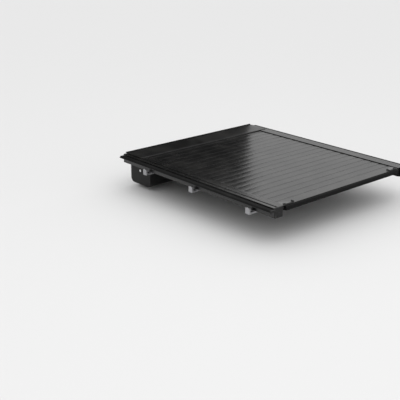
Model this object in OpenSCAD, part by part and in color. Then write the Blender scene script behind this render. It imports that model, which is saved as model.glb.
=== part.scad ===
// Retractable slatted tonneau cover for a short pickup bed.
// +X is the passenger side, +Y is toward the cab, +Z is up. The origin is on the front face
// of the canister, midway across, at the height of the rail seats on the bed walls.

/* [Overall] */
// Canister front face to the rear edge of the rail ends
cover_l = 1710; // [1500:1:2000]
// Centre line to the outer wall of a rail
rail_out = 724; // [700:1:760]

/* [Rails] */
// Height of the rail's main top strip above the seat
rail_h = 27; // [25:1:32]
// Depth of the rail box that hangs inside the bed
rail_drop = 45; // [40:1:60]
// Width of the flange that sits on the bed wall
flange_w = 42; // [30:1:48]
// Thickness of that flange
flange_t = 4; // [3:0.5:5]
// Wall thickness of the extrusion
rail_wall = 2.5; // [2:0.5:3]
// How far the main strip's inner edge is from the outer wall
lip_reach = 91; // [90:0.5:94]

/* [Curtain] */
// Number of slats between the tail bar and the canister
n_slats = 19; // [12:1:19]
// Width of one slat along the bed
pitch = 76; // [60:1:80]
// Thickness of a slat
slat_t = 9; // [8:0.5:10]
// Height of the slats' upper face above the seat
curtain_top = 22; // [20:0.5:22]
// Half the length of a slat across the bed
slat_half = 642; // [620:1:642]
// How far the slat's middle stands above its edges
crown = 1.2; // [0:0.1:2]
// Wall thickness of the hollow slats
slat_wall = 1.4; // [1:0.1:1.8]

/* [Tail bar] */
// Depth of the tail bar along the bed
bar_d = 92; // [80:1:110]
// Half the length of the tail bar
bar_half = 628; // [610:1:628]
// Depth of its box section
bar_h = 34; // [30:1:40]

/* [Canister] */
// Depth of the canister along the bed
can_d = 255; // [245:1:300]
// Depth of the canister below the seat
can_drop = 222; // [215:1:260]
// Radius of the canister's lower corners
can_r = 40; // [10:1:60]
// Depth of the lid along the bed
lid_d = 207; // [200:1:210]
// Half the width of the lid
lid_half = 700; // [680:1:716]

/* [Roll] */
// Distance from the drum's flats to its axis
drum_flat = 59.2; // [59:0.1:60]
// Number of slats wound on the drum when the bed is covered
n_wound = 7; // [3:1:7]

/* [Latches] */
// How far the latch bolt draws inboard
bolt_throw = 17.1; // [15:0.1:18]
// Radius of the latch bolt
bolt_r = 5; // [4:0.5:5]
// Turn of the latch lever
lever_turn = 30; // [25:1:35]

/* [Hidden] */
function two_digits(i) = i < 10 ? str("0", i) : str(i);
SLATS = [for (i = [1:n_slats]) str("curtain_slat_", two_digits(i))];

$fn = 48;
// running clearance between a shaft and its hole
run = 0.05;

// rail
rail_back = 10 - cover_l;
rail_front = -5;
lip_in = rail_out - lip_reach;
lip_t = 3.5;
floor_top = curtain_top - slat_t - 3;
channel_out = slat_half + 4;
box_in = slat_half - 2;
web_in = channel_out + 6.5;
groove_in = lip_in + 59;
ledge_h = rail_h - 3;
flange_out = rail_out + flange_w;

// curtain
slat_bottom = curtain_top - slat_t;
bar_back = 13 - cover_l;
bar_front = bar_back + bar_d;
hook_mid = slat_t / 2 - 0.7;
hook_r = 2;

// canister and roll
can_wall = 2;
plate_in = slat_half + 4;
plate_out = plate_in + 5;
plate_step = floor_top - 4;
lid_under = rail_h + 1.3;
axis_y = -125;
axis_z = -105;
run_in_y = bar_front + n_slats * pitch;
axle_r = 10;
roller_r = 12;
roller_y = 15 - can_d;
roller_z = slat_bottom - roller_r - 0.3;
wound_reach = 76;
wound_step = 2;
first_turn = 45.3;

// latches
pivot_x = 608;
pivot_y = bar_back + 14;
crank_r = bolt_throw / (2 * sin(lever_turn / 2));
crank_x = pivot_x + crank_r * sin(lever_turn / 2);
crank_y = pivot_y + crank_r * cos(lever_turn / 2);
bolt_y = pivot_y + crank_r * (1 + cos(lever_turn / 2)) / 2;
bolt_z = -1;
bolt_tip = 650;
spindle_r = 6;
cavity_in = 575;

// clamps and screws
clamp_rows = [-1480, -880, -330];
clamp_x = rail_out - 23;
m8_r = 4;
screw_r = 3;

// runs its children along Y, with x across and y up in the children's own plane
module along_y(y0, y1) {
    translate([0, y1, 0]) rotate([90, 0, 0]) linear_extrude(y1 - y0) children();
}

// runs its children along X, with x as row Y and y as row Z in the children's own plane
module along_x(x0, x1) {
    translate([x0, 0, 0]) rotate([90, 0, 90]) linear_extrude(x1 - x0) children();
}

// draws its children on both sides of the middle
module both_sides() {
    children();
    mirror([1, 0, 0]) children();
}

// rectangle from its low and high corners
module rect(x0, x1, y0, y1) {
    translate([x0, y0]) square([x1 - x0, y1 - y0]);
}

// solid box from its low and high corners
module box(lo, hi) {
    translate(lo) cube(hi - lo);
}

// rod along X
module rod_x(x0, x1, y, z, r) {
    translate([x0, y, z]) rotate([0, 90, 0]) cylinder(h = x1 - x0, r = r);
}

// rod along Y
module rod_y(x, y0, y1, z, r) {
    translate([x, y1, z]) rotate([90, 0, 0]) cylinder(h = y1 - y0, r = r);
}

// rod along Z
module rod_z(x, y, z0, z1, r) {
    translate([x, y, z0]) cylinder(h = z1 - z0, r = r);
}

// ---------------------------------------------------------------- rails

// cross-section of the right-hand rail: channel, hollow box, seat flange
module rail_section() {
    difference() {
        union() {
            rect(lip_in + lip_t / 2, groove_in, rail_h - lip_t, rail_h);
            translate([lip_in + lip_t / 2, rail_h - lip_t / 2]) circle(lip_t / 2);
            rect(lip_in + 1, channel_out, floor_top - rail_wall, floor_top);
            rect(channel_out, rail_out - 4, floor_top - rail_wall, ledge_h);
            rect(rail_out - 8, rail_out, 0, ledge_h - 4);
            translate([rail_out - 4, ledge_h - 4]) circle(4);
            rect(box_in, rail_out, -rail_drop, floor_top);
            rect(rail_out - 1, flange_out, 0, flange_t);
        }
        rect(groove_in - 1, groove_in + 3, ledge_h - 5, rail_h);
        rect(channel_out + 3, web_in, floor_top, rail_h - lip_t - 1.5);
        rect(web_in + 3.5, groove_in - 3.5, floor_top, rail_h - lip_t);
        rect(groove_in + 5.5, rail_out - rail_wall, floor_top, ledge_h - rail_wall);
        rect(box_in + rail_wall, web_in, rail_wall - rail_drop, floor_top - rail_wall);
        rect(web_in + 3.5, rail_out - rail_wall, rail_wall - rail_drop, floor_top - rail_wall);
        // slot that the latch bolts run along
        rect(box_in - 1, box_in + rail_wall + 1, bolt_z - bolt_r - 0.8, bolt_z + bolt_r + 0.8);
    }
}

module rail() {
    difference() {
        along_y(rail_back, rail_front) rail_section();
        // the channel stops where the canister begins
        box([lip_in - 1, -can_d - 1.5, -rail_drop - 1], [web_in, 1, floor_top - rail_wall]);
        box([lip_in - 1, -can_d - 1.5, 0], [channel_out, 1, floor_top + 0.1]);
        box([lip_in - 1, -lid_d, -rail_drop - 1], [web_in, 1, rail_h + 1]);
        // clamp bolt holes in the underside
        for (y = clamp_rows) rod_z(clamp_x, y, -rail_drop - 1, rail_wall + 1 - rail_drop, m8_r + 0.3);
        // screw holes for the canister's end plates
        for (p = plate_screw_places()) rod_x(channel_out - 1, web_in + 9, p[0], p[1], screw_r + run);
    }
}

module rail_right() { color([0.19, 0.19, 0.20]) rail(); }
module rail_left() { color([0.19, 0.19, 0.20]) mirror([1, 0, 0]) rail(); }

// bulb seal that lies on the seat flange against the rail's outer wall
module rail_seal() {
    along_y(rail_back, rail_front - 8) difference() {
        union() {
            rect(rail_out + 2, flange_out + 2, flange_t + 0.1, flange_t + 6);
            translate([rail_out + 12, flange_t + 6]) circle(8);
            rect(rail_out + 12, flange_out - 6, flange_t + 3, flange_t + 14);
            translate([flange_out - 6, flange_t + 6]) circle(8);
        }
        translate([rail_out + 12, flange_t + 6]) circle(5);
        translate([flange_out - 6, flange_t + 6]) circle(5);
        rect(rail_out + 12, flange_out - 6, flange_t + 3, flange_t + 11);
        rect(rail_out, rail_out + 2, 0, 30);
        rect(rail_out, flange_out + 20, -10, flange_t + 0.1);
    }
}

module rail_seal_right() { color([0.05, 0.05, 0.05]) rail_seal(); }
module rail_seal_left() { color([0.05, 0.05, 0.05]) mirror([1, 0, 0]) rail_seal(); }

// low-friction strips on the channel floors, under the slat ends
module guide_strips() {
    color([0.85, 0.85, 0.82]) both_sides()
        box([lip_in + 2, rail_back + 12, floor_top], [channel_out - 0.5, -can_d - 3, slat_bottom - 0.3]);
}

cap_screw_places = [[web_in + 40, floor_top - 20], [web_in + 40, 8 - rail_drop]];

// moulded cap with a plug that fits inside the rail's box
module rail_cap() {
    difference() {
        union() {
            along_y(rail_back - 10, rail_back) union() {
                rect(lip_in + 20, rail_out, -rail_drop - 1, rail_h - 4);
                rect(lip_in + 24, rail_out - 4, 0, rail_h + 1);
                translate([lip_in + 24, rail_h - 3]) circle(4);
                translate([rail_out - 4, rail_h - 3]) circle(4);
                rect(rail_out - 2, flange_out, 0, flange_t + 9);
                rect(rail_out - 2, flange_out - 5, 0, flange_t + 14);
                translate([flange_out - 5, flange_t + 9]) circle(5);
            }
            box([web_in + 4, rail_back - 1, rail_wall + 0.5 - rail_drop],
                [rail_out - rail_wall - 0.5, rail_back + 20, floor_top - rail_wall - 0.5]);
        }
        for (p = cap_screw_places) rod_y(p[0], rail_back - 11, rail_back + 21, p[1], 2.2);
    }
}

module rail_cap_right() { color([0.06, 0.06, 0.06]) rail_cap(); }
module rail_cap_left() { color([0.06, 0.06, 0.06]) mirror([1, 0, 0]) rail_cap(); }

module rail_cap_screws() {
    color([0.12, 0.12, 0.12]) both_sides() for (p = cap_screw_places) {
        difference() {
            rod_y(p[0], rail_back - 12.5, rail_back - 10, p[1], 4.2);
            translate([p[0], rail_back - 11.2, p[1]]) rotate([90, 0, 0]) cylinder(h = 3, r = 2, $fn = 6);
        }
        rod_y(p[0], rail_back - 10.5, rail_back + 18, p[1], 2.2);
    }
}

// ---------------------------------------------------------------- clamps

module at_clamps() {
    both_sides() for (y = clamp_rows) translate([clamp_x, y, -rail_drop]) children();
}

module clamp_saddles() {
    color([0.55, 0.56, 0.58]) at_clamps() difference() {
        box([-20, -25, -10], [20, 25, 0]);
        rod_z(0, 0, -11, 1, m8_r + 0.3);
        box([12, -26, -11], [21, 26, -6]);
    }
}

module clamp_jaws() {
    jaw_out = flange_out - 6 - clamp_x;
    color([0.55, 0.56, 0.58]) at_clamps() difference() {
        union() {
            box([-17, -20, -24], [jaw_out, 20, -12]);
            box([jaw_out - 12, -20, -13], [jaw_out, 20, 21]);
            rod_x(jaw_out - 12, jaw_out, 0, 21, 5);
        }
        rod_z(0, 0, -25, -11, m8_r + 0.3);
    }
}

module clamp_bolts() {
    color([0.75, 0.75, 0.76]) at_clamps() {
        translate([0, 0, -30.8]) cylinder(h = 5.3, r = 7.5, $fn = 6);
        rod_z(0, 0, -25.6, -24, 8);
        rod_z(0, 0, -26, 12, m8_r);
    }
}

module clamp_nuts() {
    color([0.75, 0.75, 0.76]) at_clamps() translate([0, 0, rail_wall]) difference() {
        cylinder(h = 6.5, r = 7.5, $fn = 6);
        rod_z(0, 0, -1, 8, m8_r + 0.02);
    }
}

// ---------------------------------------------------------------- canister

// closed tray outline with rounded lower corners, in Y and Z
module tray(inset, top) {
    r = can_r - inset;
    back = inset - can_d;
    floor_z = inset - can_drop;
    union() {
        rect(back, -inset, floor_z + r, top);
        rect(back + r, -inset - r, floor_z, top);
        translate([back + r, floor_z + r]) circle(r);
        translate([-inset - r, floor_z + r]) circle(r);
    }
}

drain_x = 560;
drain_y = -60;

module canister_shell() {
    color([0.05, 0.05, 0.055]) difference() {
        union() {
            along_x(-plate_in, plate_in) difference() {
                tray(0, lid_under - 0.1);
                tray(can_wall, lid_under + 1);
                rect(-can_d - 1, -can_d + can_wall + 1, plate_step, lid_under + 1);
            }
            // flange along the top of the front wall, for the lid's screws
            along_x(-plate_in, plate_in) rect(-34, -1, lid_under - 2.1, lid_under - 0.1);
        }
        both_sides() rod_z(drain_x, drain_y, -can_drop - 1, can_wall + 1 - can_drop, 8.1);
        for (x = lid_screw_places) rod_z(x, lid_screw_y, lid_under - 3, lid_under + 1, 2.1);
    }
}

function plate_screw_places() = [[-236, -30], [-22, -30], [-22, 8]];

// end plate: closes the canister and carries the drum axle and the guide roller
module canister_end() {
    difference() {
        along_x(plate_in, plate_out) difference() {
            tray(0, lid_under - 0.1);
            rect(-can_d - 1, -lid_d + 1, plate_step, lid_under + 1);
        }
        rod_x(plate_in - 1, plate_out + 1, axis_y, axis_z, axle_r);
        rod_x(plate_in - 1, plate_out + 1, roller_y, roller_z, 4 + run);
        for (p = plate_screw_places()) rod_x(plate_in - 1, plate_out + 1, p[0], p[1], screw_r + 0.2);
    }
}

module canister_end_right() { color([0.06, 0.06, 0.065]) canister_end(); }
module canister_end_left() { color([0.06, 0.06, 0.065]) mirror([1, 0, 0]) canister_end(); }

module end_plate_screws() {
    color([0.12, 0.12, 0.12]) both_sides() for (p = plate_screw_places()) {
        rod_x(plate_in - 3, plate_in, p[0], p[1], 5.5);
        rod_x(plate_in - 0.5, web_in + 8, p[0], p[1], screw_r);
    }
}

lid_back = -lid_d;
lid_front = -12;
lid_screw_y = -24;
lid_screw_places = [for (k = [-2.5:1:2.5]) k * 250];
lid_crown = 3.2;
lid_plate = 2.5;

// upper face of the lid at a fraction s of its depth
function lid_rise(s) = lid_crown * (1 - pow(2 * s - 1, 2));

module canister_lid() {
    n = 12;
    depth = lid_front - lid_back;
    top = [for (k = [0:n]) [lid_back + depth * k / n, lid_under + lid_plate + lid_rise(k / n)]];
    under = [for (k = [n:-1:0]) [lid_back + depth * k / n, lid_under + lid_rise(k / n)]];
    color([0.05, 0.05, 0.055]) difference() {
        union() {
            along_x(-lid_half, lid_half) polygon(concat(top, under));
            // turned-down rear edge over the curtain
            along_x(-slat_half, slat_half)
                rect(lid_back, lid_back + 3, curtain_top + 2.2, lid_under + 1);
            // end walls that rest on the rails
            both_sides() along_x(lid_half - 4, lid_half) union() {
                rect(lid_back, lid_front, rail_h + 0.05, lid_under + 0.5);
                polygon(concat([[lid_back, lid_under]], top, [[lid_front, lid_under]]));
            }
        }
        for (x = lid_screw_places) {
            rod_z(x, lid_screw_y, 0, 60, 2.2);
            rod_z(x, lid_screw_y, lid_under + 1.6, 60, 4.6);
        }
    }
}

module lid_screws() {
    color([0.12, 0.12, 0.12]) for (x = lid_screw_places) {
        difference() {
            rod_z(x, lid_screw_y, lid_under + 1.6, lid_under + 3.6, 4.4);
            translate([x, lid_screw_y, lid_under + 2.4]) cylinder(h = 3, r = 1.8, $fn = 6);
        }
        rod_z(x, lid_screw_y, lid_under - 10, lid_under + 2, 2);
    }
}

// brush strip under the lid's rear edge
module lid_wiper() {
    color([0.04, 0.04, 0.04])
        box([-slat_half, lid_back + 3, curtain_top + 0.3], [slat_half, lid_back + 9, lid_under + 0.2]);
}

// rubber lip between the lid and the front wall of the bed
module bulkhead_seal() {
    color([0.05, 0.05, 0.05]) along_x(-lid_half, lid_half) difference() {
        union() {
            rect(-11.8, -5, lid_under, lid_under + 4);
            translate([-5.5, lid_under + 3]) circle(5.4);
        }
        translate([-5.5, lid_under + 3]) circle(3.4);
        rect(-20, 5, 0, lid_under);
    }
}

module drain_fittings() {
    color([0.07, 0.07, 0.07]) both_sides() difference() {
        union() {
            rod_z(drain_x, drain_y, can_wall - can_drop, can_wall + 3 - can_drop, 14);
            rod_z(drain_x, drain_y, -can_drop - 30, can_wall + 1 - can_drop, 8);
            rod_z(drain_x, drain_y, -can_drop - 2.5, -can_drop, 12);
        }
        rod_z(drain_x, drain_y, -can_drop - 31, can_wall + 4 - can_drop, 6);
    }
}

// ---------------------------------------------------------------- roll

module drum_axle() {
    color([0.6, 0.6, 0.62]) rod_x(-plate_out - 1, plate_out + 1, axis_y, axis_z, axle_r);
}

drum_half = 632;
bearing_w = 12;

module drum_tube() {
    color([0.7, 0.7, 0.72]) difference() {
        translate([-drum_half, axis_y, axis_z]) rotate([0, 90, 0])
            rotate([0, 0, 30 - first_turn])
                cylinder(h = 2 * drum_half, r = drum_flat / cos(30), $fn = 6);
        rod_x(15 - drum_half, drum_half - 15, axis_y, axis_z, drum_flat - 2);
        rod_x(-drum_half - 1, drum_half + 1, axis_y, axis_z, 22);
    }
}

module drum_bearings() {
    color([0.75, 0.75, 0.77]) both_sides() difference() {
        rod_x(drum_half - bearing_w - 1, drum_half - 1, axis_y, axis_z, 22);
        rod_x(drum_half - bearing_w - 2, drum_half, axis_y, axis_z, axle_r + run);
    }
}

spring_turns = 40;
wire_r = 2.5;

// close-wound counterbalance spring around the axle, drawn as a stack of turns
module torsion_spring() {
    step = 1.85 * wire_r;
    color([0.35, 0.36, 0.38]) translate([-step * spring_turns / 2, axis_y, axis_z])
        rotate([0, 90, 0]) rotate_extrude() difference() {
            for (k = [0:spring_turns]) translate([axle_r + 4 + wire_r, k * step]) circle(wire_r, $fn = 20);
            rect(-1, axle_r + 3, -10, step * spring_turns + 10);
        }
}

// outline of a slat from its rear edge at 0, with mitred lower edges and, if hooked, a neck
module slat_outline(mitre, hooked) {
    n = 8;
    low = slat_t - crown;
    w = pitch - 2.4;
    arc = [for (k = [0:n]) [1.2 + w * k / n, low + crown * (1 - pow(2 * k / n - 1, 2))]];
    bulb = [for (a = [-27:-30.6:-333]) [hook_r * cos(a) - 5, hook_mid + hook_r * sin(a)]];
    neck = concat([[1.2, hook_mid - 0.9]], bulb, [[1.2, hook_mid + 0.9]]);
    ends = [[pitch - 1.2, mitre], [pitch - 1.2 - mitre, 0]];
    polygon(concat([[1.2 + mitre, 0], [1.2, mitre]], hooked ? neck : [], arc, ends));
}

// the two hollows of a slat
module slat_hollows() {
    web = pitch * 0.47;
    rect(slat_wall + 4, web, slat_wall, slat_t - crown - slat_wall);
    rect(web + slat_wall, pitch - 10.5, slat_wall, slat_t - crown - slat_wall);
}

// plain slat with mitred lower ends, for the roll
module slat_body(mitre) {
    difference() {
        slat_outline(mitre, false);
        slat_hollows();
    }
}

// slat with the hook on its rear edge and the socket on its front edge
module slat_section() {
    difference() {
        slat_outline(0.6, true);
        slat_hollows();
        socket_cut();
    }
}

// space in a front edge that takes the next slat's hook
module socket_cut() {
    translate([pitch - 5, hook_mid]) circle(2.6);
    rect(pitch - 5, pitch + 1, hook_mid - 1.5, hook_mid + 1.5);
}

module curtain_slat(i) {
    color([0.34, 0.34, 0.35]) along_x(-slat_half, slat_half)
        translate([bar_front + (i - 1) * pitch, slat_bottom]) slat_section();
}

// a slat of the roll, k places in from the outermost one
module wound_slat(k) {
    reach = wound_reach - wound_step * k;
    translate([axis_y, axis_z]) rotate(-first_turn - 60 * k)
        translate([-pitch / 2, reach - slat_t / 2]) slat_body(3);
}

module wound_slats() {
    color([0.34, 0.34, 0.35]) for (k = [0:n_wound - 1]) along_x(-slat_half + 4, slat_half - 4) wound_slat(k);
}

run_in_slope = 33.6;

// the slat between the end of the channel and the roll
module run_in_slat() {
    color([0.34, 0.34, 0.35]) along_x(-slat_half + 2, slat_half - 2)
        translate([run_in_y, slat_bottom + slat_t / 2]) rotate(-run_in_slope)
            translate([0, -slat_t / 2]) slat_body(3);
}

module guide_roller() {
    color([0.7, 0.7, 0.72]) {
        rod_x(-slat_half + 2, slat_half - 2, roller_y, roller_z, roller_r);
        rod_x(-plate_out + 1, plate_out - 1, roller_y, roller_z, 4);
    }
}

// ---------------------------------------------------------------- tail bar

bar_wall = 2.5;
bar_low = curtain_top - bar_h;
bar_box = bar_back + 57;

module tail_bar() {
    color([0.34, 0.34, 0.35]) difference() {
        along_x(-bar_half, bar_half) difference() {
            union() {
                rect(bar_back, bar_box, bar_low, curtain_top - 1.2);
                rect(bar_back + 1.2, bar_front - 10, curtain_top - 5, curtain_top);
                rect(bar_back, bar_front - 1.2, slat_bottom, curtain_top - 1.2);
                rect(bar_box, bar_front - 1.6, slat_bottom + 4, curtain_top);
            }
            rect(bar_back + bar_wall, bar_box - bar_wall, bar_low + bar_wall, curtain_top - bar_wall);
            rect(bar_box, bar_front - 10.5, slat_bottom + slat_wall, curtain_top - bar_wall);
            translate([bar_front - pitch, slat_bottom]) socket_cut();
        }
        // openings in the top for the two latch housings
        both_sides() box([cavity_in - 3.5, bar_back + bar_wall + 1.5, 0], [bar_half - 0.8, bar_box - bar_wall, 40]);
    }
}

// hollow rubber bulb along the rear face
module tail_seal() {
    mid_y = bar_back - 7.5;
    color([0.05, 0.05, 0.05]) along_x(-bar_half + 6, bar_half - 6) difference() {
        union() {
            rect(mid_y - 7.5, bar_back - 0.2, bar_low, 12);
            translate([mid_y, 12]) circle(7.3);
            rect(mid_y, bar_back - 0.2, 8, 18);
        }
        translate([mid_y, 12]) circle(4.8);
        rect(mid_y - 4.8, mid_y + 4.8, bar_low + 3, 12);
    }
}

// glides that run in the rail channels and close the tail bar's ends, clear of the first hook
module end_shoes() {
    shoe_front = bar_front - 5 - hook_r - 2;
    color([0.06, 0.06, 0.06]) both_sides() difference() {
        union() {
            box([bar_half, bar_back + 0.5, bar_low + 0.5], [bar_half + 4, bar_box, curtain_top]);
            box([bar_half, bar_back + 0.5, slat_bottom], [bar_half + 4, shoe_front, curtain_top]);
            box([bar_half + 3, bar_back + 2, slat_bottom], [slat_half, shoe_front, rail_h - lip_t - 0.6]);
        }
        rod_x(bar_half - 1, bar_half + 5, bolt_y, bolt_z, bolt_r + 0.5);
    }
}

// ---------------------------------------------------------------- latches

module latch_housing() {
    y0 = bar_back + bar_wall + 2;
    y1 = bar_box - bar_wall - 0.3;
    difference() {
        union() {
            box([cavity_in - 3, y0, bar_low + bar_wall + 0.3], [bar_half - 1, y1, curtain_top + 0.5]);
            // cover plate on top of the tail bar, with its inboard front corner cut off
            translate([0, 0, curtain_top + 0.02]) linear_extrude(1.2) polygon([
                [bar_half, bar_back + 1.5], [bar_half, bar_back + 62], [bar_half - 34, bar_back + 62],
                [bar_half - 92, bar_back + 20], [bar_half - 92, bar_back + 1.5]]);
        }
        box([cavity_in, y0 + 2.5, bar_low + bar_wall + 2.8], [bar_half - 4, y1 - 1.8, curtain_top - bar_wall]);
        rod_z(pivot_x, pivot_y, 0, curtain_top + 3, spindle_r + run);
        rod_x(bar_half - 5, bar_half + 1, bolt_y, bolt_z, bolt_r + run);
    }
}

module latch_housing_right() { color([0.28, 0.28, 0.29]) latch_housing(); }
module latch_housing_left() { color([0.28, 0.28, 0.29]) mirror([1, 0, 0]) latch_housing(); }

// thumb lever, spindle and the crank that draws the bolt
module latch_lever() {
    low = curtain_top + 1.6;
    arm_in = 530;
    difference() {
        union() {
            rod_z(pivot_x, pivot_y, low, low + 4, 13);
            box([arm_in, pivot_y - 11, low], [pivot_x, pivot_y - 4, low + 3]);
            box([arm_in - 2.5, pivot_y - 11, low], [arm_in + 1, pivot_y + 16, low + 9]);
            rod_z(pivot_x, pivot_y, bolt_z + 6, low + 1, spindle_r);
            rod_z(pivot_x, pivot_y, bolt_z + 3.8, bolt_z + 8.2, spindle_r + 0.5);
            translate([pivot_x, pivot_y, bolt_z + 4]) rotate([0, 0, -lever_turn / 2])
                box([-4, 0, 0], [4, crank_r + 4.6, 4]);
            rod_z(crank_x, crank_y, bolt_z - 3, bolt_z + 6, 3);
        }
        translate([pivot_x, pivot_y, low + 2.5]) cylinder(h = 3, r = 3, $fn = 6);
    }
}

module latch_lever_right() { color([0.06, 0.06, 0.06]) latch_lever(); }
module latch_lever_left() { color([0.06, 0.06, 0.06]) mirror([1, 0, 0]) latch_lever(); }

module latch_bolt() {
    difference() {
        union() {
            rod_x(crank_x + 4, bolt_tip - 2, bolt_y, bolt_z, bolt_r);
            translate([bolt_tip - 2, bolt_y, bolt_z]) rotate([0, 90, 0])
                cylinder(h = 2, r1 = bolt_r, r2 = bolt_r - 2);
            box([crank_x - 7, bolt_y - bolt_r, bolt_z - 3], [crank_x + 7, bolt_y + bolt_r, bolt_z + 3]);
        }
        rod_z(crank_x, bolt_y, bolt_z - 4, bolt_z + 6, 3.8);
        box([crank_x - 1, bolt_y - 8, bolt_z + 3], [crank_x + 7, bolt_y + 8, bolt_z + 8]);
    }
}

module latch_bolt_right() { color([0.7, 0.7, 0.71]) latch_bolt(); }
module latch_bolt_left() { color([0.7, 0.7, 0.71]) mirror([1, 0, 0]) latch_bolt(); }

// compression spring that pushes the bolt out, drawn as a stack of turns
module latch_spring() {
    gap_l = crank_x - 7 - cavity_in;
    turns = 10;
    step = (gap_l - 1.6) / turns;
    color([0.75, 0.75, 0.76]) translate([cavity_in + 0.8, bolt_y, bolt_z]) rotate([0, 90, 0])
        rotate_extrude() union() {
            for (k = [0:turns]) translate([3.4, k * step]) circle(0.7, $fn = 16);
            rect(3.1, 3.5, 0, step * turns);
        }
}

module latch_spring_right() { latch_spring(); }
module latch_spring_left() { mirror([1, 0, 0]) latch_spring(); }

// steel plates inside the rails that take the bolt tips
module latch_strikes() {
    x0 = box_in + rail_wall;
    color([0.7, 0.7, 0.71]) both_sides() difference() {
        box([x0, bolt_y - 20, bolt_z - 14], [x0 + 3, bolt_y + 20, floor_top - rail_wall]);
        rod_x(x0 - 1, x0 + 4, bolt_y, bolt_z, bolt_r + 0.4);
    }
}

canister_shell();
canister_lid();
canister_end_left();
canister_end_right();
bulkhead_seal();
lid_wiper();
lid_screws();
end_plate_screws();
rail_left();
rail_right();
rail_seal_left();
rail_seal_right();
guide_strips();
rail_cap_left();
rail_cap_right();
rail_cap_screws();
clamp_saddles();
clamp_jaws();
clamp_bolts();
clamp_nuts();
drain_fittings();
latch_strikes();
drum_axle();
drum_tube();
drum_bearings();
torsion_spring();
wound_slats();
run_in_slat();
guide_roller();
tail_bar();
tail_seal();
end_shoes();
latch_housing_left();
latch_housing_right();
latch_lever_left();
latch_lever_right();
latch_bolt_left();
latch_bolt_right();
latch_spring_left();
latch_spring_right();
for (i = [1:n_slats]) curtain_slat(i);
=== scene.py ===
import math

import bmesh
import bpy
import numpy as np
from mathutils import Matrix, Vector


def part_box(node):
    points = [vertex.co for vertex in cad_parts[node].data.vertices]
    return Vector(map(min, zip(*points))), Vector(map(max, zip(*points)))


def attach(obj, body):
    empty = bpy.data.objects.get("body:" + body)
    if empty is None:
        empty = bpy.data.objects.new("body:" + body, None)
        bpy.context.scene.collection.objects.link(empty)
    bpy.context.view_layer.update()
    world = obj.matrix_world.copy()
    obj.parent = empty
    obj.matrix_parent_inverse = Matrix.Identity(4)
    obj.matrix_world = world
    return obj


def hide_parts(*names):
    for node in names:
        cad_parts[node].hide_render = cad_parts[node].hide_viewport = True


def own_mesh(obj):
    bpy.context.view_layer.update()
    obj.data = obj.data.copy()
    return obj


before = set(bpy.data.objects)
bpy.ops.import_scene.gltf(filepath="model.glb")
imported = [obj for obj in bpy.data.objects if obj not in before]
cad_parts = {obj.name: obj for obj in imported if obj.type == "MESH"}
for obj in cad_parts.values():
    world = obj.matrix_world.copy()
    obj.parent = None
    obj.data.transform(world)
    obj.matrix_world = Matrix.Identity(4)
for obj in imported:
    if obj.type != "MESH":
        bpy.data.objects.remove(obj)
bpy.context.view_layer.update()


# ---------------------------------------------------------------- camera
# The cover is looked at from behind its driver's-side rear corner, from a little above, through
# a short telephoto lens.

camera_down = 19.65
camera_turn = 41.0

camera_data = bpy.data.cameras.new("camera")
camera_data.lens = 74.0
camera_data.sensor_width = 36.0
camera = bpy.data.objects.new("camera", camera_data)
camera.location = (-4.455, -5.239, 1.912)
camera.rotation_euler = (math.radians(90.0 - camera_down), 0.0, math.radians(-camera_turn))
bpy.context.collection.objects.link(camera)
bpy.context.scene.camera = camera


# ---------------------------------------------------------------- floor and light
# A pale seamless floor under an even, bright sky, with one large soft light. A dark card that
# only reflections see stands where a pickup's cab would, across the canister end.

floor_gap = 0.002
floor_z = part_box("drain_fittings")[0][2] - floor_gap


def shown(name, mesh, smooth_angle=30.0):
    """An object at the origin with that mesh, smooth where its faces meet at under smooth_angle."""
    obj = bpy.data.objects.new(name, mesh)
    bpy.context.collection.objects.link(obj)
    mesh.shade_smooth()
    mesh.set_sharp_from_angle(angle=math.radians(smooth_angle))
    return obj


def mesh_object(name, vertices, faces, smooth_angle=30.0):
    """A mesh object at the origin from vertices in metres and faces as lists of indices."""
    mesh = bpy.data.meshes.new(name)
    mesh.from_pydata(np.asarray(vertices, float).tolist(), [], [list(map(int, f)) for f in faces])
    mesh.validate()
    return shown(name, mesh, smooth_angle)


def node_in(tree, kind, **values):
    """Adds a node of that kind; values are its inputs by name (underscores for spaces) or its
    properties."""
    made = tree.nodes.new(kind)
    for key, value in values.items():
        if key in made.bl_rna.properties:
            setattr(made, key, value)
        else:
            made.inputs[key.replace("_", " ")].default_value = value
    return made


def plain_material(name, color, roughness):
    """One even colour, for stage pieces only."""
    material = bpy.data.materials.new(name)
    material.use_nodes = True
    shader = material.node_tree.nodes["Principled BSDF"]
    shader.inputs["Base Color"].default_value = (*color, 1.0)
    shader.inputs["Roughness"].default_value = roughness
    return material


floor_half = 120.0
floor_at = np.array([[-1, -1], [1, -1], [1, 1], [-1, 1]]) * floor_half
floor = mesh_object("floor", np.c_[floor_at, np.full(4, floor_z)], [[0, 1, 2, 3]])
floor.data.materials.append(plain_material("pale_floor", (0.60, 0.60, 0.60), 0.9))

card_x = (-1.7, 0.86)
card_y = 0.16
card_z = (0.04, 1.0)
card = mesh_object(
    "dark_card",
    [[card_x[0], card_y, card_z[0]], [card_x[1], card_y, card_z[0]],
     [card_x[1], card_y, card_z[1]], [card_x[0], card_y, card_z[1]]],
    [[0, 1, 2, 3]],
)
card.data.materials.append(plain_material("card_black", (0.01, 0.01, 0.01), 0.9))
card.visible_camera = False
card.visible_diffuse = False
card.visible_shadow = False

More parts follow.
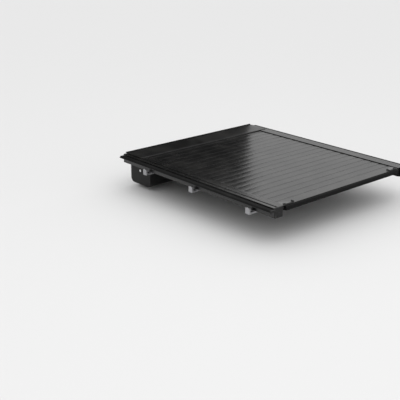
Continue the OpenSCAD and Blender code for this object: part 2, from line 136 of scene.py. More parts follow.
world = bpy.data.worlds.new("studio")
world.use_nodes = True
sky = world.node_tree.nodes["Background"]
sky.inputs["Color"].default_value = (1.0, 1.0, 1.0, 1.0)
direction = node_in(world.node_tree, "ShaderNodeTexCoord")
height_of = node_in(world.node_tree, "ShaderNodeSeparateXYZ")
brighter_up = node_in(
    world.node_tree, "ShaderNodeMapRange", From_Min=0.20, From_Max=0.45, To_Min=0.62, To_Max=1.4
)
world.node_tree.links.new(direction.outputs["Generated"], height_of.inputs[0])
world.node_tree.links.new(height_of.outputs["Z"], brighter_up.inputs["Value"])
world.node_tree.links.new(brighter_up.outputs["Result"], sky.inputs["Strength"])
bpy.context.scene.world = world
bpy.context.scene.view_settings.view_transform = "Standard"

softbox_data = bpy.data.lights.new("softbox", "AREA")
softbox_data.shape = "RECTANGLE"
softbox_data.size = 5.0
softbox_data.size_y = 4.0
softbox_data.energy = 60.0
softbox = bpy.data.objects.new("softbox", softbox_data)
softbox.location = (-2.0, -3.5, 5.0)
softbox.rotation_euler = (math.radians(33.0), 0.0, math.radians(-28.0))
bpy.context.collection.objects.link(softbox)


# ---------------------------------------------------------------- side rails
# Each rail is one aluminium extrusion with a satin black powder coat: a lip over the slat ends,
# a groove, a lower ledge, a hollow box that hangs inside the bed and a flange on the bed wall.

MM = 0.001


def rounded(corners, radius, steps=4):
    """Outline with every corner rounded: the quadratic curve from one tangent point to the
    other."""
    c = np.asarray(corners, float)
    to_last = np.roll(c, 1, 0) - c
    to_next = np.roll(c, -1, 0) - c
    last_len = np.linalg.norm(to_last, axis=1)
    next_len = np.linalg.norm(to_next, axis=1)
    reach = np.minimum(radius, 0.45 * np.minimum(last_len, next_len))
    start = c + to_last * (reach / last_len)[:, None]
    end = c + to_next * (reach / next_len)[:, None]
    t = np.linspace(0.0, 1.0, steps)[None, :, None]
    curve = (1 - t) ** 2 * start[:, None] + 2 * t * (1 - t) * c[:, None] + t**2 * end[:, None]
    return curve.reshape(-1, 2)


def rectangle(x0, x1, y0, y1):
    """The four corners of a rectangle."""
    return [(x0, y0), (x1, y0), (x1, y1), (x0, y1)]


def prism(name, parts, axis, smooth_angle=30.0):
    """Closed bars: each part is (outlines, low, high), its first outline the outside and the rest
    holes; side walls join the outline at low to the same outline at high along axis X or Y."""
    bm = bmesh.new()
    for outlines, low, high in parts:
        ends = ([], [])
        for outline in outlines:
            n = len(outline)
            at = np.zeros((2, n, 3))
            across = (1, 2) if axis == "X" else (0, 2)
            at[:, :, across[0]] = outline[:, 0]
            at[:, :, across[1]] = outline[:, 1]
            at[:, :, "XYZ".index(axis)] = np.array([low, high])[:, None]
            ring = [[bm.verts.new(p) for p in side] for side in at]
            for k in range(n):
                bm.faces.new((ring[0][k], ring[0][(k + 1) % n], ring[1][(k + 1) % n], ring[1][k]))
            for side, corners in enumerate(ring):
                ends[side].extend(bm.edges.get((corners[k], corners[(k + 1) % n])) for k in range(n))
        for edges in ends:
            bmesh.ops.triangle_fill(bm, use_beauty=True, edges=edges)
    bmesh.ops.recalc_face_normals(bm, faces=bm.faces)
    mesh = bpy.data.meshes.new(name)
    bm.to_mesh(mesh)
    bm.free()
    return shown(name, mesh, smooth_angle)


def new_group(name, inputs, outputs):
    """A shader node group with float inputs {name: default} and outputs {name: socket type}."""
    group = bpy.data.node_groups.new(name, "ShaderNodeTree")
    for key, default in inputs.items():
        socket = group.interface.new_socket(key, in_out="INPUT", socket_type="NodeSocketFloat")
        socket.default_value = default
    for key, kind in outputs.items():
        group.interface.new_socket(key, in_out="OUTPUT", socket_type=kind)
    return group, group.nodes.new("NodeGroupInput"), group.nodes.new("NodeGroupOutput")


def grain_group():
    """Powder or moulded grain: small rounded bumps, and a slow mottle over them."""
    group, given, out = new_group(
        "grain",
        {"Grain Scale": 900.0, "Mottle Scale": 9.0},
        {"Height": "NodeSocketFloat", "Mottle": "NodeSocketFloat"},
    )
    coords = group.nodes.new("ShaderNodeTexCoord")
    cells = node_in(group, "ShaderNodeTexVoronoi", feature="SMOOTH_F1", Smoothness=0.7)
    fine = node_in(group, "ShaderNodeTexNoise", Detail=2.0)
    both = node_in(group, "ShaderNodeMath", operation="ADD")
    slow = node_in(group, "ShaderNodeTexNoise", Detail=5.0, Roughness=0.55)
    for texture in (cells, fine, slow):
        group.links.new(coords.outputs["Object"], texture.inputs["Vector"])
    group.links.new(given.outputs["Grain Scale"], cells.inputs["Scale"])
    group.links.new(given.outputs["Grain Scale"], fine.inputs["Scale"])
    group.links.new(given.outputs["Mottle Scale"], slow.inputs["Scale"])
    group.links.new(cells.outputs["Distance"], both.inputs[0])
    group.links.new(fine.outputs["Fac"], both.inputs[1])
    group.links.new(both.outputs[0], out.inputs["Height"])
    group.links.new(slow.outputs["Fac"], out.inputs["Mottle"])
    return group


def lines_group():
    """Die or brush lines: noise drawn out along one axis by squeezing the other two's scale."""
    group, given, out = new_group(
        "drawn_lines",
        {"Scale X": 1.0, "Scale Y": 1.0, "Scale Z": 1.0},
        {"Height": "NodeSocketFloat"},
    )
    coords = group.nodes.new("ShaderNodeTexCoord")
    scale = group.nodes.new("ShaderNodeCombineXYZ")
    squeeze = node_in(group, "ShaderNodeVectorMath", operation="MULTIPLY")
    noise = node_in(group, "ShaderNodeTexNoise", Scale=1.0, Detail=4.0, Roughness=0.6)
    for axis in "XYZ":
        group.links.new(given.outputs["Scale " + axis], scale.inputs[axis])
    group.links.new(coords.outputs["Object"], squeeze.inputs[0])
    group.links.new(scale.outputs[0], squeeze.inputs[1])
    group.links.new(squeeze.outputs[0], noise.inputs["Vector"])
    group.links.new(noise.outputs["Fac"], out.inputs["Height"])
    return group


def wear_group():
    """Rubbed edges: where the surface is sharply convex, broken up by noise, from 0 to 1."""
    ragged = 0.12
    sharpness = 9.0
    group, given, out = new_group(
        "edge_wear", {"Threshold": 0.56, "Break Up": 120.0}, {"Mask": "NodeSocketFloat"}
    )
    coords = group.nodes.new("ShaderNodeTexCoord")
    geometry = group.nodes.new("ShaderNodeNewGeometry")
    noise = node_in(group, "ShaderNodeTexNoise", Detail=4.0)
    shift = node_in(group, "ShaderNodeMath", operation="MULTIPLY_ADD")
    shift.inputs[1].default_value = ragged
    edge = node_in(group, "ShaderNodeMath", operation="SUBTRACT")
    steep = node_in(group, "ShaderNodeMath", operation="MULTIPLY", use_clamp=True)
    steep.inputs[1].default_value = sharpness
    group.links.new(coords.outputs["Object"], noise.inputs["Vector"])
    group.links.new(given.outputs["Break Up"], noise.inputs["Scale"])
    group.links.new(noise.outputs["Fac"], shift.inputs[0])
    group.links.new(given.outputs["Threshold"], shift.inputs[2])
    group.links.new(geometry.outputs["Pointiness"], edge.inputs[0])
    group.links.new(shift.outputs[0], edge.inputs[1])
    group.links.new(edge.outputs[0], steep.inputs[0])
    group.links.new(steep.outputs[0], out.inputs["Mask"])
    return group


def dust_group():
    """Settled dust: strongest on faces that look up, gathered in soft patches, from 0 to 1."""
    group, given, out = new_group("settled_dust", {"Patch Scale": 5.0}, {"Mask": "NodeSocketFloat"})
    coords = group.nodes.new("ShaderNodeTexCoord")
    geometry = group.nodes.new("ShaderNodeNewGeometry")
    split = group.nodes.new("ShaderNodeSeparateXYZ")
    patches = node_in(group, "ShaderNodeTexNoise", Detail=6.0, Roughness=0.65)
    specks = node_in(group, "ShaderNodeTexNoise", Scale=420.0, Detail=2.0)
    spread = node_in(group, "ShaderNodeMapRange", From_Min=0.42, From_Max=0.72)
    up = node_in(group, "ShaderNodeMath", operation="MULTIPLY", use_clamp=True)
    dotted = node_in(group, "ShaderNodeMath", operation="MULTIPLY", use_clamp=True)
    group.links.new(coords.outputs["Object"], patches.inputs["Vector"])
    group.links.new(coords.outputs["Object"], specks.inputs["Vector"])
    group.links.new(given.outputs["Patch Scale"], patches.inputs["Scale"])
    group.links.new(patches.outputs["Fac"], spread.inputs["Value"])
    group.links.new(geometry.outputs["Normal"], split.inputs[0])
    group.links.new(split.outputs["Z"], up.inputs[0])
    group.links.new(spread.outputs["Result"], up.inputs[1])
    group.links.new(up.outputs[0], dotted.inputs[0])
    group.links.new(specks.outputs["Fac"], dotted.inputs[1])
    group.links.new(dotted.outputs[0], out.inputs["Mask"])
    return group


GROUPS = {
    "grain": grain_group(), "lines": lines_group(), "wear": wear_group(), "dust": dust_group(),
}
DUST = (0.32, 0.31, 0.29, 1.0)


def finish(name, dark, light, rough, grain_scale, bump, metallic=0.0, specular=0.5,
           mottle=9.0, lines=None, wear=None, dust=0.0):
    """A finished surface: colour between dark and light by the mottle, roughness between two
    values, bumps of the grain (bump in metres) and, if given, drawn lines, rubbed edges and
    dust."""
    material = bpy.data.materials.new(name)
    material.use_nodes = True
    tree = material.node_tree
    shader = tree.nodes["Principled BSDF"]
    shader.inputs["Metallic"].default_value = metallic
    shader.inputs["Specular IOR Level"].default_value = specular
    grain = node_in(tree, "ShaderNodeGroup", node_tree=GROUPS["grain"])
    grain.inputs["Grain Scale"].default_value = grain_scale
    grain.inputs["Mottle Scale"].default_value = mottle
    tone = node_in(tree, "ShaderNodeMix", data_type="RGBA")
    tone.inputs["A"].default_value = (*dark, 1.0)
    tone.inputs["B"].default_value = (*light, 1.0)
    tree.links.new(grain.outputs["Mottle"], tone.inputs["Factor"])
    color = tone.outputs["Result"]
    height = grain.outputs["Height"]
    gloss = node_in(
        tree, "ShaderNodeMapRange", From_Min=0.3, From_Max=0.7, To_Min=rough[0], To_Max=rough[1]
    )
    tree.links.new(grain.outputs["Mottle"], gloss.inputs["Value"])
    if lines:
        drawn = node_in(tree, "ShaderNodeGroup", node_tree=GROUPS["lines"])
        for axis, value in zip("XYZ", lines):
            drawn.inputs["Scale " + axis].default_value = value
        added = node_in(tree, "ShaderNodeMath", operation="ADD")
        tree.links.new(height, added.inputs[0])
        tree.links.new(drawn.outputs["Height"], added.inputs[1])
        height = added.outputs[0]
        mixed = node_in(tree, "ShaderNodeMix", data_type="FLOAT")
        mixed.inputs["Factor"].default_value = 0.5
        tree.links.new(grain.outputs["Mottle"], mixed.inputs["A"])
        tree.links.new(drawn.outputs["Height"], mixed.inputs["B"])
        tree.links.new(mixed.outputs["Result"], gloss.inputs["Value"])
    if wear:
        rubbed = node_in(tree, "ShaderNodeGroup", node_tree=GROUPS["wear"])
        worn = node_in(tree, "ShaderNodeMix", data_type="RGBA")
        worn.inputs["B"].default_value = (*wear, 1.0)
        tree.links.new(rubbed.outputs["Mask"], worn.inputs["Factor"])
        tree.links.new(color, worn.inputs["A"])
        color = worn.outputs["Result"]
    if dust:
        settled = node_in(tree, "ShaderNodeGroup", node_tree=GROUPS["dust"])
        amount = node_in(tree, "ShaderNodeMath", operation="MULTIPLY")
        amount.inputs[1].default_value = dust
        dusted = node_in(tree, "ShaderNodeMix", data_type="RGBA")
        dusted.inputs["B"].default_value = DUST
        tree.links.new(settled.outputs["Mask"], amount.inputs[0])
        tree.links.new(amount.outputs[0], dusted.inputs["Factor"])
        tree.links.new(color, dusted.inputs["A"])
        color = dusted.outputs["Result"]
    bumps = node_in(tree, "ShaderNodeBump", Strength=0.6, Distance=bump)
    tree.links.new(height, bumps.inputs["Height"])
    tree.links.new(color, shader.inputs["Base Color"])
    tree.links.new(gloss.outputs["Result"], shader.inputs["Roughness"])
    tree.links.new(bumps.outputs["Normal"], shader.inputs["Normal"])
    return material


rail_coat = finish(
    "rail_satin_black", (0.003, 0.003, 0.003), (0.006, 0.006, 0.006), (0.22, 0.32), 1100.0,
    0.00006, lines=(260.0, 1.2, 260.0), wear=(0.16, 0.16, 0.165), dust=0.10,
)


def dress(obj, material, body, replaced=()):
    """Gives a piece its material and says what it rides on and which nodes it stands for."""
    obj.data.materials.clear()
    obj.data.materials.append(material)
    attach(obj, body)
    if replaced:
        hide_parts(*replaced)
    return obj


def mirrored(parts):
    """The same bars on the driver's side: every outline turned over about X = 0."""
    return [
        ([outline * (-1, 1) for outline in outlines], low, high) for outlines, low, high in parts
    ]


rail_low, rail_high = (np.array(c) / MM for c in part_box("rail_right"))
flange_out = rail_high[0]
flange_top = 4.0
flange_width = 42.0
outer_wall = flange_out - flange_width
lip = rail_low[0]
top = rail_high[2]
ledge = top - 3.0
lip_under = top - 3.5
channel = lip + 13.0
channel_floor = 10.0
gutter = lip + 1.0
web = channel + 6.5
web_back = web + 3.5
under = rail_low[2]
wall = 2.5
groove = (lip + 58.0, lip + 62.0)
groove_floor = ledge - 5.0
canister_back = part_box("canister_shell")[0][1] / MM - 1.5
lid_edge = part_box("canister_lid")[0][1] / MM

outside = [
    (outer_wall, under), (outer_wall, 0.0), (flange_out, 0.0), (flange_out, flange_top),
    (outer_wall, flange_top), (outer_wall, ledge), (groove[1], ledge), (groove[1], groove_floor),
    (groove[0], groove_floor), (groove[0], top),
]
over_curtain = [
    (lip, top), (lip, lip_under), (channel, lip_under), (channel, channel_floor),
    (gutter, channel_floor),
]
chambers = [
    rectangle(web_back, groove[0] - wall, channel_floor, lip_under),
    rectangle(groove[1] + wall, outer_wall - wall, channel_floor, ledge - wall),
    rectangle(web_back, outer_wall - wall, under + wall, channel_floor - wall),
]
inner_chamber = rectangle(channel + 3.0, web, channel_floor, lip_under - 1.5)
floor_under = channel_floor - wall
box_x = lip + 7.0
bolt_slot = (-6.8, 4.8)
box_back = box_x + wall
box_side = [
    (gutter, floor_under), (box_x, floor_under), (box_x, bolt_slot[1]), (box_back, bolt_slot[1]),
    (box_back, floor_under), (web, floor_under), (web, under + wall), (box_back, under + wall),
    (box_back, bolt_slot[0]), (box_x, bolt_slot[0]), (box_x, under),
]
over_canister = [
    (lip, top), (lip, lip_under), (channel, lip_under), (channel, floor_under),
    (web, floor_under), (web, under),
]


def bar_part(corners, holes, low, high):
    """One stretch of an extrusion in metres: rounded outside, rounded chambers, two ends."""
    outlines = [rounded(corners, 0.9)] + [rounded(hole, 0.8, 3) for hole in holes]
    return [outline * MM for outline in outlines], low * MM, high * MM


rail_parts = [
    bar_part(
        outside + over_curtain + box_side, chambers + [inner_chamber], rail_low[1], canister_back
    ),
    bar_part(outside + over_canister, chambers + [inner_chamber], canister_back, lid_edge),
    bar_part(outside + [(web, top), (web, under)], chambers, lid_edge, rail_high[1]),
]
for side, parts in (("right", rail_parts), ("left", mirrored(rail_parts))):
    rail = prism("side_rail_" + side, parts, "Y")
    dress(rail, rail_coat, "frame", ["rail_" + side])


# ---------------------------------------------------------------- rail seals
# Soft black EPDM strip that fills the space between each rail's outer wall and the cap on the
# bed wall. It is extruded with three rounded ribs and lies on the rail's flange.

rubber = finish(
    "black_rubber", (0.005, 0.005, 0.005), (0.009, 0.009, 0.009), (0.6, 0.75), 700.0, 0.00008,
    specular=0.08, mottle=14.0, dust=0.04,
)
seal_low, seal_high = (np.array(c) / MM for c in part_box("rail_seal_right"))


def ribbed_strip(x0, x1, z0, z1, ribs, depth, steps=60):
    """Flat underside and a top that rises and falls as a cosine, once per rib, and rolls over
    at both edges as the eighth power of the distance from the middle."""
    s = np.linspace(0.0, 1.0, steps)
    edge = 1.0 - np.abs(2 * s - 1) ** 8
    height = (z1 - z0) * edge - depth * (0.5 + 0.5 * np.cos(2 * math.pi * ribs * s)) * edge
    thinnest = 0.4
    upper = np.c_[x1 + (x0 - x1) * s, z0 + np.maximum(height, thinnest)]
    lower = np.array([[x0, z0], [x1, z0]])
    return np.r_[lower, upper] * MM


seal_outline = ribbed_strip(
    seal_low[0], seal_high[0], seal_low[2], seal_high[2], ribs=3, depth=2.6
)
seal_parts = [([seal_outline], seal_low[1] * MM, seal_high[1] * MM)]
for side, parts in (("right", seal_parts), ("left", mirrored(seal_parts))):
    strip = prism("rail_rubber_" + side, parts, "Y", 50.0)
    dress(strip, rubber, "frame", ["rail_seal_" + side])


# ---------------------------------------------------------------- small rail parts
# The channel floors carry strips of low-friction plastic. Moulded caps plug the rails' rear
# ends, each held by two black button-head screws.


def softened(node, radius, material, body="frame"):
    """Stands for a CAD node with a dressed copy of it, its flat faces joined up and every edge
    sharper than 35 degrees rounded by that radius."""
    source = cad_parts[node]
    bm = bmesh.new()
    bm.from_mesh(source.data)
    bmesh.ops.transform(bm, matrix=source.matrix_world, verts=bm.verts)
    bmesh.ops.remove_doubles(bm, verts=bm.verts, dist=1e-6)
    bmesh.ops.dissolve_limit(bm, angle_limit=math.radians(0.5), verts=bm.verts, edges=bm.edges)
    mesh = bpy.data.meshes.new(node + "_piece")
    bm.to_mesh(mesh)
    bm.free()
    obj = shown(node + "_piece", mesh)
    bevel = obj.modifiers.new("edges", "BEVEL")
    bevel.width = radius
    bevel.segments = 2
    bevel.limit_method = "ANGLE"
    bevel.angle_limit = math.radians(35.0)
    bevel.use_clamp_overlap = True
    return dress(obj, material, body, [node])


nylon = finish(
    "natural_nylon", (0.62, 0.61, 0.57), (0.72, 0.71, 0.67), (0.35, 0.5), 500.0, 0.00004,
    mottle=25.0, dust=0.2,
)
moulded = finish(
    "moulded_black_nylon", (0.007, 0.007, 0.007), (0.012, 0.012, 0.012), (0.45, 0.58), 1400.0,
    0.00010, specular=0.2, mottle=30.0, wear=(0.06, 0.06, 0.06), dust=0.05,
)
black_steel = finish(
    "black_oxide_steel", (0.020, 0.020, 0.021), (0.045, 0.045, 0.047), (0.30, 0.45), 1800.0,
    0.00003, metallic=0.6, mottle=160.0, wear=(0.20, 0.20, 0.20),
)
for node, radius, material, slot in (
    ("guide_strips", 0.0003, nylon, "nylon"),
    ("rail_cap_left", 0.0012, moulded, "black_plastic"),
    ("rail_cap_right", 0.0012, moulded, "black_plastic"),
    ("rail_cap_screws", 0.0004, black_steel, "black_steel"),
):
    softened(node, radius, material)


# ---------------------------------------------------------------- clamps
# Three clamps a side hang under each rail: a cast saddle against the rail's underside and a
# cast jaw that hooks under the bed wall's lip, drawn up by a plated bolt into a captive nut.

cast = finish(
    "cast_aluminium", (0.30, 0.30, 0.31), (0.42, 0.42, 0.43), (0.42, 0.6), 600.0, 0.00018,
    metallic=0.9, mottle=60.0, wear=(0.6, 0.6, 0.6), dust=0.08,
)
zinc = finish(
    "zinc_plated_steel", (0.52, 0.52, 0.53), (0.68, 0.68, 0.69), (0.24, 0.4), 1500.0, 0.00002,
    metallic=1.0, mottle=140.0,
)
for node, radius, material, slot in (
    ("clamp_saddles", 0.0010, cast, "cast_aluminium"),
    ("clamp_jaws", 0.0014, cast, "cast_aluminium"),
    ("clamp_bolts", 0.0004, zinc, "zinc_steel"),
    ("clamp_nuts", 0.0004, zinc, "zinc_steel"),
    ("latch_strikes", 0.0004, zinc, "zinc_steel"),
):
    softened(node, radius, material)


# ---------------------------------------------------------------- canister
# A tray of bent aluminium sheet with a fine-textured black powder coat, closed at its ends by
# moulded plates that are screwed to the rails. Two barbed spigots drain its floor.

textured = finish(
    "textured_black_coat", (0.002, 0.002, 0.002), (0.004, 0.004, 0.004), (0.30, 0.42), 800.0,
    0.00010, mottle=7.0, wear=(0.10, 0.10, 0.10), dust=0.10,
)
for node, radius, material, slot in (
    ("canister_shell", 0.0007, textured, "black_powder_coat"),
    ("canister_end_left", 0.0009, moulded, "black_plastic"),
    ("canister_end_right", 0.0009, moulded, "black_plastic"),
    ("end_plate_screws", 0.0005, black_steel, "black_steel"),
    ("drain_fittings", 0.0006, moulded, "black_plastic"),
    ("bulkhead_seal", 0.0006, rubber, "rubber"),
):
    softened(node, radius, material)


# ---------------------------------------------------------------- lid
# The lid is a slightly crowned plate over the roll, its rear edge turned down over the curtain
# and both ends folded down onto the rails. A pile strip under the edge wipes the slats.

lid_low, lid_high = (np.array(c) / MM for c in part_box("canister_lid"))
lid_over_rail = 1.3
lid_under = top + lid_over_rail
lid_plate = 2.5
lid_rise = lid_high[2] - lid_under - lid_plate
nose_steps = 8
plate_steps = 28


def lid_outline(low_edge):
    """The plate's upper face as a parabola over its depth, a nose rounded down to low_edge at
    the rear, and an underside that runs parallel one plate thickness below."""
    s = np.linspace(0.0, 1.0, plate_steps)
    y = lid_low[1] + (lid_high[1] - lid_low[1]) * s
    rise = lid_rise * (1 - (2 * s - 1) ** 2)
    turn = np.linspace(0.0, math.pi / 2, nose_steps)
    nose_back = lid_low[1] + lid_plate
    nose = np.c_[nose_back - lid_plate * np.cos(turn), lid_under + lid_plate * np.sin(turn)]
    upper = np.c_[y, lid_under + lid_plate + rise][2:]
    lower = np.c_[y, lid_under + rise][3:][::-1]
    leg = [[nose_back, lid_under], [nose_back, low_edge], [lid_low[1], low_edge]]
    return np.r_[nose, upper, lower, leg] * MM


slat_low, slat_high = (np.array(c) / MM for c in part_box("curtain_slat_19"))
curtain_side = slat_high[0] * MM
lid_side = lid_high[0] * MM
lid_end = 4.0
fold = (lid_high[0] - lid_end) * MM
fold_low = top + 0.1
lid_face = lid_outline(fold_low)
end_wall = np.array([[lid_high[1], fold_low], [lid_low[1], fold_low]]) * MM
lid_cap = np.r_[lid_face[:nose_steps + plate_steps - 2], end_wall]
lid_parts = [
    ([lid_outline(lid_low[2])], -curtain_side, curtain_side),
    ([lid_face], curtain_side, fold),
    ([lid_face], -fold, -curtain_side),
    ([lid_cap], fold, lid_side),
    ([lid_cap], -lid_side, -fold),
]
lid = prism("lid_plate", lid_parts, "X", 40.0)
dress(lid, textured, "frame", ["canister_lid"])
softened("lid_screws", 0.0003, black_steel)

pile = finish(
    "black_pile", (0.012, 0.012, 0.012), (0.03, 0.03, 0.03), (0.8, 0.95), 2500.0, 0.0002,
    specular=0.2, mottle=400.0,
)
wiper_low, wiper_high = (np.array(c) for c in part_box("lid_wiper"))


def tufts(low, high, count, rows):
    """Rows of square spikes that hang from the holder: each starts full width at the top and
    narrows to its tip, and leans by a sine of its own number."""
    half_share = 0.45
    root_half, tip_half = 0.0006, 0.0003
    tip_share = 0.5
    lean_most, lean_step = 0.0006, 2.4
    in_holder = 0.0018
    k = np.arange(count * rows)
    x = low[0] + (high[0] - low[0]) * ((k % count) + 0.5) / count
    y = low[1] + (high[1] - low[1]) * ((k // count) + 0.5) / rows
    half = half_share * (high[0] - low[0]) / count
    corner = np.array([[-1, -1], [1, -1], [1, 1], [-1, 1]], float)
    base = np.zeros((len(k), 8, 3))
    base[:, :4, 0] = x[:, None] + corner[:, 0] * half
    base[:, :4, 1] = y[:, None] + corner[:, 1] * root_half
    base[:, :4, 2] = high[2] - in_holder
    base[:, 4:, 0] = x[:, None] + corner[:, 0] * half * tip_share
    base[:, 4:, 0] += lean_most * np.sin(k * lean_step)[:, None]
    base[:, 4:, 1] = y[:, None] + corner[:, 1] * tip_half
    base[:, 4:, 2] = low[2]
    one = np.array([
        [3, 2, 1, 0], [4, 5, 6, 7], [0, 1, 5, 4], [1, 2, 6, 5], [2, 3, 7, 6], [3, 0, 4, 7],
    ])
    faces = (one[None] + 8 * k[:, None, None]).reshape(-1, 4)
    return base.reshape(-1, 3), faces


pile_at, pile_faces = tufts(wiper_low, wiper_high, count=320, rows=2)
holder_thick = 2.0
holder_top = wiper_high[2] / MM
holder = rectangle(wiper_low[1] / MM, wiper_high[1] / MM, holder_top - holder_thick, holder_top)
wiper = prism("wiper_strip", [([rounded(holder, 0.4) * MM], wiper_low[0], wiper_high[0])], "X")
dress(wiper, moulded, "frame", ["lid_wiper"])
bristles = mesh_object("wiper_pile", pile_at, pile_faces)
dress(bristles, pile, "frame", ["lid_wiper"])


# ---------------------------------------------------------------- curtain slats
# Each slat is a hollow aluminium extrusion with a satin black coat. A hook along its rear edge
# sits in a socket along the next slat's front edge, which leaves a narrow groove between them.

slat_coat = finish(
    "slat_satin_black", (0.0015, 0.0015, 0.0015), (0.0035, 0.0035, 0.0035), (0.22, 0.30), 1200.0,
    0.00005, mottle=6.0, lines=(1.5, 420.0, 60.0), dust=0.08,
)
PITCH = 76.0
slat_edge = 1.2
slat_crown = 1.2
slat_thick = slat_high[2] - slat_low[2]
slat_wall = 1.4
slat_chambers = ((5.4, 35.7), (37.1, 65.5))
hook_in = 5.0
hook_r = 2.0
hook_below_middle = 0.7
neck_half = 0.9
socket_r = 2.6
mouth_half = 1.5


def socket_curve(front, mid):
    """A circle of socket_r round the centre of the hook, open by 70 degrees toward the front."""
    turn = np.radians(np.linspace(35.0, 325.0, 14))
    return np.c_[front - hook_in + socket_r * np.cos(turn), mid + socket_r * np.sin(turn)]


def slat_outlines(rear_edge, floor, tilt):
    """Hollow slat section: a crowned top as a parabola, rounded shoulders, a hook behind and a
    C-shaped socket in front, with two chambers; tilt lifts the front edge a little."""
    s = np.linspace(0.06, 0.94, 15)
    width = PITCH - 2 * slat_edge
    shoulder = slat_thick - slat_crown
    crown = np.c_[slat_edge + width * s, shoulder + slat_crown * (1 - (2 * s - 1) ** 2)]
    turn = np.radians(np.linspace(-27.0, -333.0, 12))
    mid = slat_thick / 2 - hook_below_middle
    bulb = np.c_[hook_r * np.cos(turn) - hook_in, mid + hook_r * np.sin(turn)]
    low_bevel = 0.6
    side_top, edge_in, edge_top = shoulder - 0.7, 0.8, shoulder + 0.05
    rear = [[slat_edge + low_bevel, 0.0], [slat_edge, low_bevel], [slat_edge, mid - neck_half]]
    rear_top = [
        [slat_edge, mid + neck_half], [slat_edge, side_top], [slat_edge + edge_in, edge_top],
    ]
    front = PITCH - slat_edge
    front_top = [[front - edge_in, edge_top], [front, side_top], [front, mid + mouth_half]]
    front_low = [[front, mid - mouth_half], [front, low_bevel], [front - low_bevel, 0.0]]
    outer = np.r_[
        rear, bulb, rear_top, crown, front_top, socket_curve(PITCH, mid), front_low
    ]
    outer[:, 1] += tilt * outer[:, 0] / PITCH
    holes = [
        rounded(rectangle(*chamber, slat_wall, shoulder - slat_wall), 0.8, 3)
        for chamber in slat_chambers
    ]
    return [(outline + (rear_edge, floor)) * MM for outline in [outer] + holes]


SLATS = sorted(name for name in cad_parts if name.startswith("curtain_slat_"))
most_lean = 0.10
for index, node in enumerate(SLATS):
    low, high = (np.array(c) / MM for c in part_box(node))
    rear_edge = high[1] - PITCH + slat_edge
    lean = most_lean * math.sin(2.1 * index + 0.4)
    outlines = slat_outlines(rear_edge, low[2], lean)
    piece = prism("slat_" + node[-2:], [(outlines, low[0] * MM, high[0] * MM)], "X", 25.0)
    dress(piece, slat_coat, node.replace("curtain_", ""), [node])
    if index > 0:
        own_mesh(piece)


# ---------------------------------------------------------------- roll
# Inside the canister the curtain winds on a six-sided aluminium drum, which turns on bearings on
# a fixed steel axle. A torsion spring round the axle balances the curtain's weight.

mill = finish(
    "mill_aluminium", (0.60, 0.60, 0.61), (0.72, 0.72, 0.73), (0.28, 0.42), 900.0, 0.00003,
    metallic=1.0, mottle=20.0, lines=(2.0, 500.0, 500.0),
)
for node, radius, material, body, slot in (
    ("drum_axle", 0.0005, zinc, "frame", "zinc_steel"),
    ("drum_tube", 0.0010, mill, "roll", "mill_aluminium"),
    ("drum_bearings", 0.0004, zinc, "roll", "zinc_steel"),
    ("wound_slats", 0.0004, slat_coat, "roll", "satin_black_aluminium"),
    ("run_in_slat", 0.0004, slat_coat, "run_in_slat", "satin_black_aluminium"),
    ("guide_roller", 0.0006, mill, "guide_roller", "mill_aluminium"),
):
    softened(node, radius, material, body)

spring_steel = finish(
    "spring_steel", (0.20, 0.20, 0.21), (0.32, 0.32, 0.33), (0.25, 0.4), 1500.0, 0.00002,
    metallic=1.0, mottle=90.0,
)


def helix_tube(name, start, length, coil_r, wire_r, turns, per_turn=24, around=8):
    """A wire wound along X: its centre goes round a circle of coil_r while it advances evenly,
    and a circle of wire_r is drawn at right angles to it, closed at both ends."""
    a = np.linspace(0.0, 2 * math.pi * turns, int(turns * per_turn) + 1)
    along = length * a / a[-1]
    radial = np.c_[np.zeros_like(a), np.cos(a), np.sin(a)]
    centre = np.asarray(start) + radial * coil_r
    centre[:, 0] += along
    b = np.linspace(0.0, 2 * math.pi, around, endpoint=False)
    outward = np.cos(b)[None, :, None] * radial[:, None]
    sideways = np.sin(b)[None, :, None] * np.array([1.0, 0.0, 0.0])
    ring = centre[:, None] + wire_r * (outward + sideways)
    n = len(a)
    i, j = np.meshgrid(np.arange(n - 1), np.arange(around), indexing="ij")
    nxt = (j + 1) % around
    here, ahead = i * around, (i + 1) * around
    quads = np.stack([here + j, here + nxt, ahead + nxt, ahead + j], -1)
    faces = quads.reshape(-1, 4)[:, ::-1].tolist()
    faces += [list(range(around)), list(range((n - 1) * around, n * around))[::-1]]
    obj = mesh_object(name, ring.reshape(-1, 3), faces, 60.0)
    bm = bmesh.new()
    bm.from_mesh(obj.data)
    bmesh.ops.recalc_face_normals(bm, faces=bm.faces)
    bm.to_mesh(obj.data)
    bm.free()
    return obj


spring_low, spring_high = (np.array(c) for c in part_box("torsion_spring"))
spring_mid = (spring_low + spring_high) / 2
wire = 0.0025
wire_inside = 0.96
counterbalance = helix_tube(
    "counterbalance_spring",
    start=(spring_low[0] + wire, spring_mid[1], spring_mid[2]),
    length=spring_high[0] - spring_low[0] - 2 * wire,
    coil_r=(spring_high[1] - spring_low[1]) / 2 - wire,
    wire_r=wire * wire_inside,
    turns=36,
)
dress(counterbalance, spring_steel, "roll", ["torsion_spring"])


# ---------------------------------------------------------------- tail bar
# The last panel of the curtain is a deeper extrusion in the same satin black: a box section for
# the latches behind, and a slat-like tongue in front whose socket takes the first slat's hook.

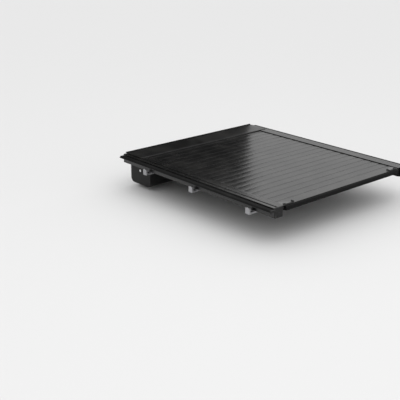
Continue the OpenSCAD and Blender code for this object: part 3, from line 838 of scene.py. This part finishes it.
bar_low, bar_high = (np.array(c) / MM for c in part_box("tail_bar"))
bar_front = bar_high[1]
box_depth = 57.0
bar_box = bar_low[1] + box_depth
bar_wall = 2.5
box_wall = 1.0
tongue = slat_low[2]
bar_top = bar_high[2]
bar_mid = tongue + slat_thick / 2 - hook_below_middle
bar_socket = socket_curve(bar_front + slat_edge, bar_mid)
bar_bevel = 0.6
bar_outer = np.r_[
    rounded(
        [
            (bar_low[1], bar_low[2]), (bar_box, bar_low[2]), (bar_box, tongue),
            (bar_front - bar_bevel, tongue),
        ],
        1.4,
    )[:-4],
    [
        [bar_front - bar_bevel, tongue], [bar_front, tongue + bar_bevel],
        [bar_front, bar_mid - mouth_half],
    ],
    bar_socket[::-1],
    [
        [bar_front, bar_mid + mouth_half], [bar_front, bar_top - 1.6],
        [bar_front - 0.8, bar_top - 0.9],
    ],
    [[bar_front - 5.0, bar_top - 0.2], [bar_front - 12.0, bar_top]],
    [
        [bar_low[1] + 3.5, bar_top], [bar_low[1] + 1.4, bar_top - 0.5],
        [bar_low[1] + 0.4, bar_top - 1.5],
    ],
    [[bar_low[1], bar_top - 3.5]],
]
socket_room = 9.3
bar_inside = bar_top - bar_wall
bar_holes = [
    rounded(
        rectangle(bar_low[1] + bar_wall, bar_box - bar_wall, bar_low[2] + bar_wall, bar_inside), 1.5
    ),
    rounded(
        rectangle(bar_box + box_wall, bar_front - socket_room, tongue + slat_wall, bar_inside), 0.8
    ),
]
bar_outlines = [outline * MM for outline in [bar_outer] + bar_holes]
bar = prism("tail_bar_panel", [(bar_outlines, bar_low[0] * MM, bar_high[0] * MM)], "X", 25.0)
dress(bar, slat_coat, "tail_bar", ["tail_bar"])
softened("end_shoes", 0.0010, moulded, "tail_bar")

tail_low, tail_high = (np.array(c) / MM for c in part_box("tail_seal"))


def bulb_outline(steps=40):
    """A hollow rubber bulb behind the bar: a half round top that runs down into a straight lip,
    with fine ribs as a cosine along its rear face."""
    rib_depth, steps_per_rib = 0.35, 6.0
    foot_in = 1.2
    mid_y = (tail_low[1] + tail_high[1]) / 2
    half = (tail_high[1] - tail_low[1]) / 2
    round_z = tail_high[2] - half
    turn = np.linspace(0.0, math.pi, steps)
    dome = np.c_[mid_y + half * np.cos(turn), round_z + half * np.sin(turn)]
    drop = np.linspace(round_z, tail_low[2] + 1.0, steps)[1:]
    ribs = rib_depth * (1 - np.cos(2 * math.pi * np.arange(steps - 1) / steps_per_rib))
    rear = np.c_[tail_low[1] + ribs, drop]
    foot = [[tail_low[1] + foot_in, tail_low[2]], [tail_high[1], tail_low[2]]]
    bore = rectangle(mid_y - 4.6, mid_y + 4.2, tail_low[2] + 3.0, round_z + 3.6)
    hollow = rounded(bore, 4.0, 8)
    return [np.r_[dome, rear, foot] * MM, hollow * MM]


bulb = prism("tail_bulb_seal", [(bulb_outline(), tail_low[0] * MM, tail_high[0] * MM)], "X", 40.0)
dress(bulb, rubber, "tail_bar", ["tail_seal"])


# ---------------------------------------------------------------- corner latches
# A cast housing drops into the tail bar near each rear corner. A moulded lever with a turned-up
# thumb tab turns a crank in it, which draws the latch bolt out of its strike in the rail.

latch_coat = finish(
    "latch_satin_grey", (0.03, 0.03, 0.03), (0.05, 0.05, 0.05), (0.18, 0.26), 900.0, 0.00004,
    mottle=40.0, wear=(0.25, 0.25, 0.25),
)
fine_wire = 0.0007
for side in ("left", "right"):
    for part, radius, material, body, slot in (
        ("latch_housing_", 0.0006, latch_coat, "tail_bar", "cast_aluminium"),
        ("latch_lever_", 0.0009, moulded, "lever_" + side, "black_plastic"),
        ("latch_bolt_", 0.0004, zinc, "bolt_" + side, "zinc_steel"),
    ):
        softened(part + side, radius, material, body)
    coil_low, coil_high = (np.array(c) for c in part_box("latch_spring_" + side))
    coil_mid = (coil_low + coil_high) / 2
    coil = helix_tube(
        "latch_coil_" + side,
        start=(coil_low[0] + fine_wire, coil_mid[1], coil_mid[2]),
        length=coil_high[0] - coil_low[0] - 2 * fine_wire,
        coil_r=(coil_high[1] - coil_low[1]) / 2 - fine_wire,
        wire_r=fine_wire,
        turns=9,
    )
    dress(coil, spring_steel, "tail_bar", ["latch_spring_" + side])
    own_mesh(coil)
